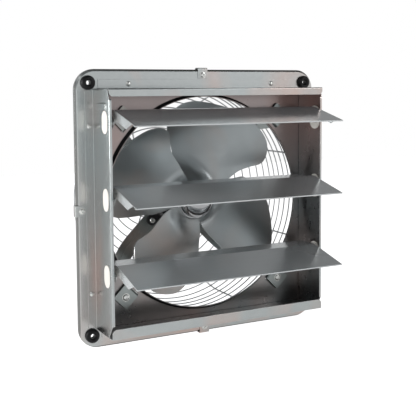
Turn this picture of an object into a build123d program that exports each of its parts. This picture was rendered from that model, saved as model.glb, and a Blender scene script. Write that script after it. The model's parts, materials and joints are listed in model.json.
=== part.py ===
from build123d import *
import os
from math import cos, hypot, pi, radians, sin, tan

os.makedirs("parts", exist_ok=True)

# X runs to the right as seen from the louvre side, Y from the louvres to the motor, Z up.
# The origin is the centre of the air opening on the panel's louvre-side face.

# Overrun of the cuts, and the gaps of seats and running fits
overrun = 6.0
running_gap = 0.05
seat_gap = 0.3

# Sides of the small round pieces, and of the round blocks inside the motor
small_sides = 8
grommet_sides = 16
core_sides = 24

# Mounting panel
panel_size = 380.0
panel_corner_r = 28.0
panel_rim = 7.0
panel_bend_r = 3.0
panel_sheet = 1.0
lip_flat_r = 158.5
lip_turn_r = 6.0

# Shutter box
box_sheet = 1.0
box_bend_r = 1.2
box_half_x = 165.0
box_half_z = 163.8
box_depth = 60.5
side_flange = 12.0
end_flange = 12.6
side_flange_half = 161.0
end_flange_half = 158.0
side_lip = 3.5
top_lip = 10.3
bottom_lip = 13.9
lip_corner_r = 6.0
top_chamfer_y = 5.5
top_chamfer_z = 16.5
bottom_chamfer_y = 12.5
bottom_chamfer_z = 18.5
emboss_y = 34.0
emboss_z = 10.0
emboss_height = 1.2
emboss_corner_r = 2.5
emboss_mid_y = -32.5
emboss_mid_z = 140.0

# Rivets
rivet_place = 114.0
rivet_r = 1.6
rivet_head_r = 3.2
rivet_head = 1.5
rivet_tail = 1.2

# Louvres, measured from the pivot
louvre_sheet = 0.8
louvre_half = 155.7
louvre_pitch = 101.2
middle_pivot_z = 19.0
pivot_y = -43.8
main_plate = 70.0
main_slope = 14.5
strip_back_y = 22.0
fold_y = -11.5
fold_z = 15.5
fold_r = 2.0
hem_width = 4.0
flange_depth = 12.0
flange_start = 10.5
flange_taper = 26.0
ear_r = 8.0

# Louvre pins and their bushings
pin_r = 2.5
pin_head_r = 4.5
pin_head = 1.6
pin_collar = 1.8
pin_end_gap = 0.5
slot_y = 20.0
slot_z = 30.0
bushing_proud = 0.4
bushing_flange = 1.4
bushing_overlap = 2.0
boss_r = 6.0
boss_face_gap = 0.3

# Corner grommets
grommet_place = 171.8
grommet_r = 9.75
grommet_neck_r = 7.0
grommet_bore_r = 3.25
grommet_front = 6.0
grommet_back = 3.5
grommet_back_r = 8.8
grommet_edge = 1.6

# Rim clips, their screws and nuts
clip_width = 15.0
clip_sheet = 1.0
clip_rim_gap = 1.5
clip_reach = 12.6
clip_back_gap = 0.5
clip_bend_r = 1.4
clip_screw_inset = 7.5
clip_screw_r = 2.0
clip_head_r = 4.0
clip_head = 2.2
clip_nut_r = 4.0
clip_nut = 3.2
screw_end = 1.5

# Motor straps
arm_width = 26.0
arm_sheet = 2.0
arm_pad = 2.5
arm_foot_r = 187.0
arm_root_r = 162.0
arm_turn_r = 145.5
arm_back_y = 102.5
arm_inner_r = 44.0
arm_root_bend = 3.0
arm_turn_bend = 60.0
arm_corner_r = 2.0
arm_slot_gap = 0.6
arm_screw_r = 2.5
arm_head_r = 4.6
arm_head = 3.0
arm_screw_place_r = 175.0
bead_width = 7.0
bead_height = 1.6
bead_share = 0.62
pad_slot_gap = 2.2

# Motor
motor_r = 41.0
motor_wall = 2.0
motor_front_y = 80.0
motor_split_y = 104.0
motor_rear_split_y = 146.0
motor_back_y = 170.0
motor_edge = 4.0
motor_shield = 3.0
ear_sheet = 3.0
ear_end_r = 61.0
ear_tip_r = 8.0
ear_root_half = 13.0
ear_screw_place_r = 52.7
ear_screw_r = 2.2
ear_head_r = 4.4
ear_head = 2.8
bolt_place_r = 33.0
bolt_r = 1.8
bolt_head_r = 3.2
bolt_head = 2.5
stator_bore_r = 22.0
stator_length = 26.0
winding_in_r = 24.0
winding_out_r = 30.5
winding_length = 9.0
rotor_gap = 0.4
rotor_ring = 3.0
bearing_r = 14.0
bearing_width = 9.0
pocket_wall = 2.0
gland_place_r = 26.0
gland_angle = 225
gland_r = 6.5
gland_nut_r = 7.5
gland_nut = 4.0
gland_length = 13.0
gland_bore_r = 3.5
gland_edge = 1.5

# Shaft and what sits on it
shaft_r = 6.0
shaft_front_y = 14.0
shaft_thread_r = 4.5
shoulder_y = 29.0
boss_flange_r = 23.0
boss_flange = 2.5
hub_r = 15.0
hub_back_y = 58.0
hub_bore_gap = 0.02
set_screw_r = 2.5
set_screw_y = 48.0
hub_rivet_place_r = 19.0
hub_rivet_r = 1.8
hub_rivet_head_r = 3.0
hub_rivet_head = 1.2
nut_r = 8.0
nut_height = 6.0
cap_r = 27.0
cap_rim_y = 12.0
cap_front_y = 3.8
cap_wall = 2.5
cap_dome_shares = [(0.6, 0.22), (0.88, 0.66), (1.0, 1.3)]

# Fan wheel
tip_r = 146.0
wheel_sheet = 1.6
wheel_mid_y = 43.4
cone_in_r = 27.0
cone_front_y = 25.9
cone_out_r = 46.0
notch_r = 37.0
root_slope = -0.11
tip_slope = -0.73
blade_start_angle = 74.9
blade_count = 4
trailing_shares = [(-33.5, 0.24), (-36.0, 0.385), (-32.3, 0.52), (-30.2, 0.64), (-28.0, 0.75)]
tip_corner_shares = [(-28.0, 0.75), (-21.5, 0.88), (-15.0, 0.962), (-8.0, 1.0)]
tip_arc_shares = [(-8.0, 1.0), (3.0, 1.0), (14.0, 1.0)]
shoulder_shares = [(14.0, 1.0), (25.0, 0.972), (34.0, 0.94), (41.0, 0.885), (48.6, 0.79)]
leading_shares = [(48.6, 0.79), (47.2, 0.66), (46.4, 0.54), (49.5, 0.44), (52.5, 0.36), (56.5, 0.24)]

# Wire guard
guard_r = 165.0
guard_front_y = 12.0
guard_dome_y = 75.0
guard_dome_depth = 118.0
guard_pitch = 14.0
guard_wire = 2.2
guard_rib_wire = 3.0
guard_weld = 0.8
guard_rim_wire = 5.0
guard_hub_r = 22.0
guard_ribs = 8
guard_sides = 24
guard_tab = 1.5
guard_tab_width = 15.0

diagonals = {"upper_right": 45, "upper_left": 135, "lower_left": 225, "lower_right": 315}
quarter_turns = [Location((0, 0, 0), (0, 90 * turn, 0)) for turn in range(4)]


def face_at(y):
    # plane across the fan axis: its x and y are X and Z, and it faces the louvre side
    return Plane.XZ.offset(-y)


def side_at(x, y=0.0, z=0.0):
    # plane across the louvres: its x and y are Y and Z
    return Plane(origin=(x, y, z), x_dir=(0, 1, 0), z_dir=(1, 0, 0))


def radial_at(angle, shift=0.0):
    # plane through the fan axis: its x is the radius at this angle and its y is Y
    turn = radians(angle)
    return Plane(origin=(0, 0, 0), x_dir=(cos(turn), 0, sin(turn)), z_dir=(-sin(turn), 0, cos(turn))).offset(shift)


def on_circle(radius, angle):
    return radius * cos(radians(angle)), radius * sin(radians(angle))


def turned(points):
    # ring or disc about the Y axis from its (radius, y) outline
    with BuildPart() as ring:
        with BuildSketch(Plane.XY):
            with BuildLine():
                Polyline(*points, close=True)
            make_face()
        revolve(axis=Axis.Y)
    return ring.part


def round_slab(radius, y_front, y_back, places=((0, 0),), mode=Mode.ADD):
    with BuildSketch(face_at(y_back)) as disc:
        with Locations(*places):
            Circle(radius)
    extrude(disc.sketch, amount=y_back - y_front, mode=mode)


def sided_slab(radius, y_front, y_back, places=((0, 0),), mode=Mode.ADD, sides=small_sides):
    with BuildSketch(face_at(y_back)) as outline:
        with Locations(*places):
            RegularPolygon(radius, sides)
    extrude(outline.sketch, amount=y_back - y_front, mode=mode)


def save(work, name):
    work.part.label = name
    export_step(work.part, f"parts/{name}.step")


def corners(place):
    return [(x, z) for x in (-place, place) for z in (-place, place)]


# Screws and rivets share one form: a low head with its edge broken, and a shank behind its seat
def fastener(shank_r, head_r, head, seat_y, end_y):
    with BuildPart() as piece:
        sided_slab(head_r, seat_y - head, seat_y)
        chamfer(piece.edges().group_by(Axis.Y)[0], head / 2)
        sided_slab(shank_r, seat_y, end_y)
    return piece.part


def group(part, places):
    with BuildPart() as pieces:
        with Locations(*[(x, 0, z) for x, z in places]):
            add(part)
    return pieces


# Places that several pieces share
side_rivet_x = box_half_x + side_flange / 2
end_rivet_z = box_half_z + end_flange / 2
rivet_places = [(x, z) for x in (-rivet_place, rivet_place) for z in (-end_rivet_z, end_rivet_z)]
rivet_places += [(x, z) for x in (-side_rivet_x, side_rivet_x) for z in (-rivet_place, rivet_place)]
clip_screw_r_place = panel_size / 2 - clip_screw_inset
clip_places = [on_circle(clip_screw_r_place, angle) for angle in (0, 90, 180, 270)]
foot_places = [on_circle(arm_screw_place_r, angle) for angle in diagonals.values()]
arm_slope = (arm_root_r - arm_turn_r) / (arm_back_y + arm_pad + arm_sheet / 2)
arm_r_at_panel = arm_root_r - arm_slope * (arm_pad + arm_sheet)
slot_in_r = arm_r_at_panel - arm_sheet / 2 - arm_slot_gap
slot_out_r = arm_r_at_panel + arm_sheet / 2 + arm_slot_gap
louvre_heights = {
    "upper": middle_pivot_z + louvre_pitch,
    "middle": middle_pivot_z,
    "lower": middle_pivot_z - louvre_pitch,
}

# Mounting panel: pressed tray with a turned lip round the opening
with BuildPart() as mounting_panel:
    with BuildSketch(face_at(panel_rim)):
        RectangleRounded(panel_size, panel_size, panel_corner_r)
    extrude(amount=panel_rim)
    chamfer(mounting_panel.faces().sort_by(Axis.Y)[0].edges(), panel_bend_r)
    offset(amount=-panel_sheet, openings=mounting_panel.faces().sort_by(Axis.Y)[-1])
    round_slab(lip_flat_r, -overrun, panel_sheet + overrun, mode=Mode.SUBTRACT)
    # the lip turns towards the louvres in two steps of 45 degrees
    lip_out = lip_turn_r + panel_sheet
    lip_in_step = lip_turn_r * tan(radians(22.5))
    lip_out_step = lip_out * tan(radians(22.5))
    add(
        turned(
            [
                (lip_flat_r, panel_sheet),
                (lip_flat_r, 0),
                (lip_flat_r - lip_in_step, 0),
                (lip_flat_r - lip_turn_r, lip_in_step - lip_turn_r),
                (lip_flat_r - lip_turn_r, -lip_turn_r),
                (lip_flat_r - lip_out, -lip_turn_r),
                (lip_flat_r - lip_out, lip_out_step - lip_turn_r),
                (lip_flat_r - lip_out_step, panel_sheet),
            ]
        )
    )
    panel_holes = [
        (grommet_neck_r, corners(grommet_place), grommet_sides),
        (rivet_r, rivet_places, small_sides),
        (clip_screw_r, clip_places, small_sides),
        (arm_screw_r, foot_places, small_sides),
    ]
    for radius, places, sides in panel_holes:
        sided_slab(radius, -overrun, panel_sheet + overrun, places, Mode.SUBTRACT, sides)
    for angle in diagonals.values():
        with BuildSketch(radial_at(angle)):
            with Locations(((slot_in_r + slot_out_r) / 2, 0)):
                Rectangle(slot_out_r - slot_in_r, panel_sheet + overrun)
        extrude(amount=arm_width / 2 + arm_slot_gap, both=True, mode=Mode.SUBTRACT)
save(mounting_panel, "mounting_panel")

# Side members of the shutter box: flange, wall and front lip, with a slot for each bushing
wall_x = -box_half_x + box_sheet / 2
with BuildPart() as shutter_side_left:
    with BuildSketch(Plane.XY.offset(-box_half_z + box_sheet)):
        with BuildLine():
            middle = FilletPolyline(
                (-box_half_x - side_flange, -box_sheet / 2),
                (wall_x, -box_sheet / 2),
                (wall_x, -box_depth + box_sheet / 2),
                (-box_half_x + side_lip, -box_depth + box_sheet / 2),
                radius=box_bend_r,
            )
        trace(middle, box_sheet)
    extrude(amount=2 * (box_half_z - box_sheet))
    for sign in (-1, 1):
        with BuildSketch(face_at(overrun)):
            with Locations((-box_half_x - box_bend_r, sign * side_flange_half)):
                Rectangle(
                    side_flange + overrun,
                    overrun,
                    align=(Align.MAX, Align.MIN if sign > 0 else Align.MAX),
                )
        extrude(amount=box_bend_r + box_sheet + overrun, mode=Mode.SUBTRACT)
    for sign, cut_y, cut_z in ((1, top_chamfer_y, top_chamfer_z), (-1, bottom_chamfer_y, bottom_chamfer_z)):
        with BuildSketch(side_at(-box_half_x - overrun)):
            with BuildLine():
                Polyline(
                    (-box_depth - overrun, sign * (box_half_z - cut_z)),
                    (-box_depth, sign * (box_half_z - cut_z)),
                    (-box_depth + cut_y, sign * box_half_z),
                    (-box_depth + cut_y, sign * (box_half_z + overrun)),
                    (-box_depth - overrun, sign * (box_half_z + overrun)),
                    close=True,
                )
            make_face()
        extrude(amount=side_lip + 2 * overrun, mode=Mode.SUBTRACT)
    with BuildSketch(side_at(-box_half_x)):
        with Locations((emboss_mid_y, emboss_mid_z)):
            RectangleRounded(emboss_y, emboss_z, emboss_corner_r)
    extrude(amount=-emboss_height, taper=30)
    with BuildSketch(side_at(-box_half_x - overrun)):
        for z in louvre_heights.values():
            with Locations((pivot_y, z)):
                SlotOverall(slot_z, slot_y, rotation=90)
    extrude(amount=2 * overrun, mode=Mode.SUBTRACT)
    side_rivets = [(x, z) for x, z in rivet_places if x == -side_rivet_x]
    sided_slab(rivet_r, -overrun, overrun, side_rivets, Mode.SUBTRACT)
save(shutter_side_left, "shutter_side_left")

with BuildPart() as shutter_side_right:
    mirror(shutter_side_left.part, about=Plane.YZ)
save(shutter_side_right, "shutter_side_right")


# Top and bottom members: flange, wall and a deeper front lip with rounded lower corners
def end_member(sign, lip):
    wall_z = box_half_z - box_sheet / 2
    with BuildPart() as member:
        with BuildSketch(side_at(-box_half_x)):
            with BuildLine():
                middle = FilletPolyline(
                    (-box_sheet / 2, sign * (box_half_z + end_flange)),
                    (-box_sheet / 2, sign * wall_z),
                    (-box_depth + box_sheet / 2, sign * wall_z),
                    (-box_depth + box_sheet / 2, sign * (box_half_z - lip)),
                    radius=box_bend_r,
                )
            trace(middle, box_sheet)
        extrude(amount=2 * box_half_x)
        lip_edges = member.edges().filter_by(Axis.Y).filter_by(
            lambda edge: abs(abs(edge.center().Z) - (box_half_z - lip)) < box_sheet
            and edge.length < 2 * box_sheet
        )
        fillet(lip_edges, lip_corner_r)
        for side in (-1, 1):
            with BuildSketch(face_at(overrun)):
                with Locations((side * end_flange_half, sign * box_half_z)):
                    Rectangle(
                        end_flange + overrun,
                        end_flange + overrun,
                        align=(
                            Align.MIN if side > 0 else Align.MAX,
                            Align.MIN if sign > 0 else Align.MAX,
                        ),
                    )
            extrude(amount=box_bend_r + box_sheet + overrun, mode=Mode.SUBTRACT)
        end_rivets = [(x, z) for x, z in rivet_places if z == sign * end_rivet_z]
        sided_slab(rivet_r, -overrun, overrun, end_rivets, Mode.SUBTRACT)
    return member


save(end_member(1, top_lip), "shutter_top")
save(end_member(-1, bottom_lip), "shutter_bottom")

# Rivets through the flanges and the panel
with BuildPart() as rivet:
    add(fastener(rivet_r, rivet_head_r, rivet_head, -box_sheet, panel_sheet))
    sided_slab((rivet_head_r + rivet_r) / 2, panel_sheet, panel_sheet + rivet_tail)
save(group(rivet.part, rivet_places), "frame_rivets")

# Nylon bushings: an oval plug in the wall's slot, a flange inside it, and a boss with a blind bore
pin_end_x = box_half_x - box_sheet / 2 - pin_end_gap
boss_face_x = louvre_half + pin_collar + boss_face_gap
with BuildPart() as bushing:
    with BuildSketch(side_at(box_half_x - box_sheet)):
        SlotOverall(slot_z - 2 * running_gap, slot_y - 2 * running_gap, rotation=90)
    extrude(amount=box_sheet + bushing_proud)
    with BuildSketch(side_at(box_half_x - box_sheet)):
        SlotOverall(slot_z + 2 * bushing_overlap, slot_y + 2 * bushing_overlap, rotation=90)
    extrude(amount=-bushing_flange)
    with BuildSketch(side_at(boss_face_x)):
        RegularPolygon(boss_r, small_sides)
    extrude(amount=box_half_x - box_sheet - boss_face_x)
    with BuildSketch(side_at(boss_face_x)):
        Circle(pin_r + running_gap)
    extrude(amount=pin_end_x + pin_end_gap - boss_face_x, mode=Mode.SUBTRACT)
with BuildPart() as bushing_pair:
    add(bushing.part)
    mirror(bushing.part, about=Plane.YZ)
with BuildPart() as pivot_bushings:
    with Locations(*[(0, pivot_y, z) for z in louvre_heights.values()]):
        add(bushing_pair.part)
save(pivot_bushings, "pivot_bushings")

# Louvre pins: a head inside the end flange, a collar outside it and the journal in the bushing
with BuildPart() as pin:
    with BuildSketch(side_at(louvre_half - louvre_sheet)):
        RegularPolygon(pin_head_r, small_sides)
    extrude(amount=-pin_head)
    with BuildSketch(side_at(louvre_half - louvre_sheet)):
        RegularPolygon(pin_r, small_sides)
    extrude(amount=louvre_sheet)
    with BuildSketch(side_at(louvre_half)):
        RegularPolygon(pin_head_r, small_sides)
    extrude(amount=pin_collar)
    with BuildSketch(side_at(louvre_half + pin_collar)):
        Circle(pin_r)
    extrude(amount=pin_end_x - louvre_half - pin_collar)
with BuildPart() as pin_pair:
    add(pin.part)
    mirror(pin.part, about=Plane.YZ)

# Louvre blade: main plate, level back strip, hemmed front edge and a turned-down flange at each end
slope = radians(main_slope)
front_y = fold_y - main_plate * cos(slope)
front_z = fold_z - main_plate * sin(slope)
with BuildPart() as louvre:
    with BuildSketch(side_at(-louvre_half)):
        with BuildLine():
            FilletPolyline(
                (strip_back_y, fold_z),
                (fold_y, fold_z),
                (front_y, front_z),
                radius=fold_r,
            )
            offset(amount=louvre_sheet, side=Side.LEFT)
        make_face()
        with Locations((front_y + hem_width / 2 * cos(slope), front_z + hem_width / 2 * sin(slope))):
            Rectangle(hem_width, 2 * louvre_sheet, rotation=main_slope, align=(Align.CENTER, Align.MAX))
    extrude(amount=2 * louvre_half)
    for x in (-louvre_half, louvre_half - louvre_sheet):
        with BuildSketch(side_at(x)):
            with BuildLine():
                Polyline(
                    (strip_back_y, fold_z - louvre_sheet / 2),
                    (fold_y, fold_z - louvre_sheet / 2),
                    (
                        front_y + flange_start * cos(slope),
                        front_z + flange_start * sin(slope) - louvre_sheet / 2,
                    ),
                    (
                        front_y + flange_taper * cos(slope) + flange_depth * sin(slope),
                        front_z + flange_taper * sin(slope) - flange_depth * cos(slope),
                    ),
                    (fold_y, fold_z - flange_depth),
                    (-ear_r, 0),
                    (ear_r, 0),
                    (strip_back_y, fold_z - flange_depth),
                    close=True,
                )
            make_face()
            Circle(ear_r)
            RegularPolygon(pin_r, small_sides, mode=Mode.SUBTRACT)
        extrude(amount=louvre_sheet)
for name, height in louvre_heights.items():
    with BuildPart() as placed:
        with Locations((0, pivot_y, height)):
            add(louvre.part)
    save(placed, f"louvre_{name}")
    with BuildPart() as placed_pins:
        with Locations((0, pivot_y, height)):
            add(pin_pair.part)
    save(placed_pins, f"louvre_pins_{name}")

# Corner grommets: front flange with its edge broken, neck in the panel hole, back flange and bolt bore
with BuildPart() as grommet:
    sided_slab(grommet_r, -grommet_front, 0, sides=grommet_sides)
    chamfer(grommet.edges().group_by(Axis.Y)[0], grommet_edge)
    sided_slab(grommet_neck_r, 0, panel_sheet, sides=grommet_sides)
    sided_slab(grommet_back_r, panel_sheet, panel_sheet + grommet_back, sides=grommet_sides)
    round_slab(grommet_bore_r, -grommet_front - overrun, panel_sheet + grommet_back + overrun, mode=Mode.SUBTRACT)
save(group(grommet.part, corners(grommet_place)), "rubber_grommets")

# Rim clips: a folded leaf over the rim, with a hole for its screw
rim_top = panel_size / 2
clip_back_y = panel_rim + clip_back_gap
with BuildPart() as clip:
    with BuildSketch(side_at(-clip_width / 2)):
        with BuildLine():
            clip_line = FilletPolyline(
                (-clip_sheet / 2, rim_top - clip_reach),
                (-clip_sheet / 2, rim_top + clip_rim_gap + clip_sheet / 2),
                (clip_back_y + clip_sheet / 2, rim_top + clip_rim_gap + clip_sheet / 2),
                (clip_back_y + clip_sheet / 2, rim_top - clip_reach),
                radius=clip_bend_r,
            )
        trace(clip_line, clip_sheet)
    extrude(amount=clip_width)
    sided_slab(
        clip_screw_r,
        -clip_sheet - overrun,
        clip_back_y + clip_sheet + overrun,
        [(0, clip_screw_r_place)],
        Mode.SUBTRACT,
    )
with BuildPart() as rim_clips:
    with Locations(*quarter_turns):
        add(clip.part)
save(rim_clips, "rim_clips")

guard_tab_y = clip_back_y + clip_sheet
clip_nut_y = guard_tab_y + guard_tab
clip_end_y = clip_nut_y + clip_nut + screw_end
clip_screw = fastener(clip_screw_r, clip_head_r, clip_head, -clip_sheet, clip_end_y)
save(group(clip_screw, clip_places), "clip_screws")

with BuildPart() as clip_nuts:
    with BuildSketch(face_at(clip_nut_y + clip_nut)):
        with Locations(*clip_places):
            RegularPolygon(clip_nut_r, 6)
            RegularPolygon(clip_screw_r, small_sides, mode=Mode.SUBTRACT)
    extrude(amount=clip_nut)
save(clip_nuts, "clip_nuts")

# Motor straps: a foot on the panel's front, a long leg back through the slot, and a wide bend in to the motor
foot_y = -arm_pad - arm_sheet / 2
turn_run = hypot(arm_root_r - arm_turn_r, arm_back_y - foot_y)
for place, angle in diagonals.items():
    with BuildPart() as motor_arm:
        with BuildSketch(radial_at(angle)):
            with BuildLine():
                strap_line = FilletPolyline(
                    (arm_foot_r, foot_y),
                    (arm_root_r, foot_y),
                    (arm_turn_r, arm_back_y),
                    (arm_inner_r, arm_back_y),
                    radius=[arm_root_bend, arm_turn_bend],
                )
            trace(strap_line, arm_sheet)
        extrude(amount=arm_width / 2, both=True)
        # stiffening bead on the inside of the bend
        with BuildSketch(radial_at(angle)):
            with BuildLine():
                lean = arm_slope * turn_run * bead_share
                bead_line = FilletPolyline(
                    (arm_turn_r + lean - bead_height / 2, arm_back_y - turn_run * bead_share),
                    (arm_turn_r - bead_height, arm_back_y - bead_height),
                    (arm_turn_r - turn_run * bead_share, arm_back_y - bead_height / 2),
                    radius=arm_turn_bend - bead_height,
                )
            trace(bead_line, arm_sheet)
        extrude(amount=bead_width / 2, both=True)
        foot = motor_arm.edges().filter_by(Axis.Y)
        fillet(foot, arm_corner_r)
        foot_place = on_circle(arm_screw_place_r, angle)
        sided_slab(arm_screw_r, -arm_pad - arm_sheet - overrun, 0, [foot_place], Mode.SUBTRACT)
        sided_slab(
            ear_screw_r,
            arm_back_y - arm_sheet,
            arm_back_y + arm_sheet,
            [on_circle(ear_screw_place_r, angle)],
            Mode.SUBTRACT,
        )
    save(motor_arm, f"motor_arm_{place}")

# Pads under the strap feet, and their screws
pad_in_r = slot_out_r + pad_slot_gap
with BuildPart() as arm_pads:
    for angle in diagonals.values():
        with BuildSketch(radial_at(angle)):
            with Locations(((pad_in_r + arm_foot_r) / 2, -arm_pad / 2)):
                Rectangle(arm_foot_r - pad_in_r, arm_pad)
        extrude(amount=arm_width / 2, both=True)
    fillet(arm_pads.edges().filter_by(Axis.Y), arm_corner_r)
    sided_slab(arm_screw_r, -arm_pad - overrun, overrun, foot_places, Mode.SUBTRACT)
save(arm_pads, "arm_pads")
foot_screw = fastener(arm_screw_r, arm_head_r, arm_head, -arm_pad - arm_sheet, panel_sheet + screw_end)
save(group(foot_screw, foot_places), "arm_foot_screws")

# Motor front bracket: a shallow end shield with a bearing pocket and four tapered ears
ear_back_y = arm_back_y - arm_sheet / 2
ear_front_y = ear_back_y - ear_sheet
pocket_r = bearing_r + pocket_wall
bolt_places = [on_circle(bolt_place_r, angle) for angle in (0, 90, 180, 270)]
ear_places = [on_circle(ear_screw_place_r, angle) for angle in diagonals.values()]
with BuildPart() as motor_front_bracket:
    round_slab(motor_r, motor_front_y, motor_split_y)
    chamfer(motor_front_bracket.edges().sort_by(Axis.Y)[0], motor_edge)
    round_slab(motor_r - motor_shield, motor_front_y + motor_shield, motor_split_y + overrun, mode=Mode.SUBTRACT)
    for angle in diagonals.values():
        with BuildSketch(face_at(ear_back_y)):
            end = ear_end_r - ear_tip_r
            with BuildLine():
                Polyline(
                    *[
                        (r * cos(radians(angle)) - s * sin(radians(angle)),
                         r * sin(radians(angle)) + s * cos(radians(angle)))
                        for r, s in (
                            (motor_r - motor_shield / 2, ear_root_half),
                            (end, ear_tip_r),
                            (end, -ear_tip_r),
                            (motor_r - motor_shield / 2, -ear_root_half),
                        )
                    ],
                    close=True,
                )
            make_face()
            with Locations(on_circle(end, angle)):
                Circle(ear_tip_r)
        extrude(amount=ear_sheet)
    round_slab(pocket_r, motor_front_y, motor_front_y + motor_shield + bearing_width)
    round_slab(
        bearing_r,
        motor_front_y + motor_shield,
        motor_front_y + motor_shield + bearing_width + overrun,
        mode=Mode.SUBTRACT,
    )
    round_slab(shaft_r + seat_gap, motor_front_y - overrun, motor_split_y, mode=Mode.SUBTRACT)
    sided_slab(ear_screw_r, ear_front_y - overrun, ear_back_y + overrun, ear_places, Mode.SUBTRACT)
    sided_slab(bolt_r, motor_front_y - overrun, motor_split_y, bolt_places, Mode.SUBTRACT)
save(motor_front_bracket, "motor_front_bracket")
ear_screw = fastener(ear_screw_r, ear_head_r, ear_head, ear_front_y, arm_back_y + arm_sheet + screw_end)
save(group(ear_screw, ear_places), "arm_motor_screws")

# Motor housing and rear cover
with BuildPart() as motor_housing:
    round_slab(motor_r, motor_split_y, motor_rear_split_y)
    round_slab(motor_r - motor_wall, motor_split_y - overrun, motor_rear_split_y + overrun, mode=Mode.SUBTRACT)
save(motor_housing, "motor_housing")
gland_places = [on_circle(gland_place_r, gland_angle)]
with BuildPart() as motor_rear_cover:
    round_slab(motor_r, motor_rear_split_y, motor_back_y)
    chamfer(motor_rear_cover.edges().sort_by(Axis.Y)[-1], motor_edge)
    round_slab(motor_r - motor_shield, motor_rear_split_y - overrun, motor_back_y - motor_shield, mode=Mode.SUBTRACT)
    round_slab(pocket_r, motor_back_y - motor_shield - bearing_width, motor_back_y)
    round_slab(
        bearing_r,
        motor_back_y - motor_shield - bearing_width - overrun,
        motor_back_y - motor_shield,
        mode=Mode.SUBTRACT,
    )
    sided_slab(bolt_r, motor_rear_split_y, motor_back_y + overrun, bolt_places, Mode.SUBTRACT)
    gland_cut_y = motor_back_y - motor_shield - overrun / 2
    sided_slab(gland_r, gland_cut_y, motor_back_y + overrun, gland_places, Mode.SUBTRACT, grommet_sides)
save(motor_rear_cover, "motor_rear_cover")

# Stator and windings
stator_mid_y = (motor_split_y + motor_rear_split_y) / 2
stator_front_y = stator_mid_y - stator_length / 2
stator_back_y = stator_mid_y + stator_length / 2
with BuildPart() as stator_core:
    stator_cuts = (stator_front_y - overrun, stator_back_y + overrun)
    sided_slab(motor_r - motor_wall, stator_front_y, stator_back_y, sides=core_sides)
    sided_slab(stator_bore_r, *stator_cuts, mode=Mode.SUBTRACT, sides=core_sides)
    sided_slab(bolt_r, *stator_cuts, bolt_places, Mode.SUBTRACT)
save(stator_core, "stator_core")
with BuildPart() as stator_windings:
    for y_front in (stator_front_y - winding_length, stator_back_y):
        with BuildSketch(face_at(y_front + winding_length)):
            RegularPolygon(winding_out_r, core_sides)
            RegularPolygon(winding_in_r, core_sides, mode=Mode.SUBTRACT)
        extrude(amount=winding_length)
save(stator_windings, "stator_windings")

# Through bolts, from the front bracket to the rear cover
motor_bolt = fastener(bolt_r, bolt_head_r, bolt_head, motor_front_y, motor_back_y + screw_end)
save(group(motor_bolt, bolt_places), "motor_bolts")

# Bearings
front_bearing_y = motor_front_y + motor_shield
rear_bearing_y = motor_back_y - motor_shield - bearing_width
for name, y_front in (("front_bearing", front_bearing_y), ("rear_bearing", rear_bearing_y)):
    with BuildPart() as bearing:
        round_slab(bearing_r, y_front, y_front + bearing_width)
        round_slab(shaft_r + running_gap, y_front - overrun, y_front + bearing_width + overrun, mode=Mode.SUBTRACT)
    save(bearing, name)

# Cable gland in the rear cover
with BuildPart() as cable_gland:
    gland_end_y = motor_back_y + gland_length
    sided_slab(gland_r, motor_back_y - motor_shield, gland_end_y, gland_places, sides=grommet_sides)
    chamfer(cable_gland.edges().group_by(Axis.Y)[-1], gland_edge)
    with BuildSketch(face_at(motor_back_y + gland_nut)):
        with Locations(*gland_places):
            RegularPolygon(gland_nut_r, 6, major_radius=False)
    extrude(amount=gland_nut)
    round_slab(
        gland_bore_r,
        motor_back_y - motor_shield - overrun,
        gland_end_y + overrun,
        gland_places,
        Mode.SUBTRACT,
    )
save(cable_gland, "cable_gland")

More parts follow.
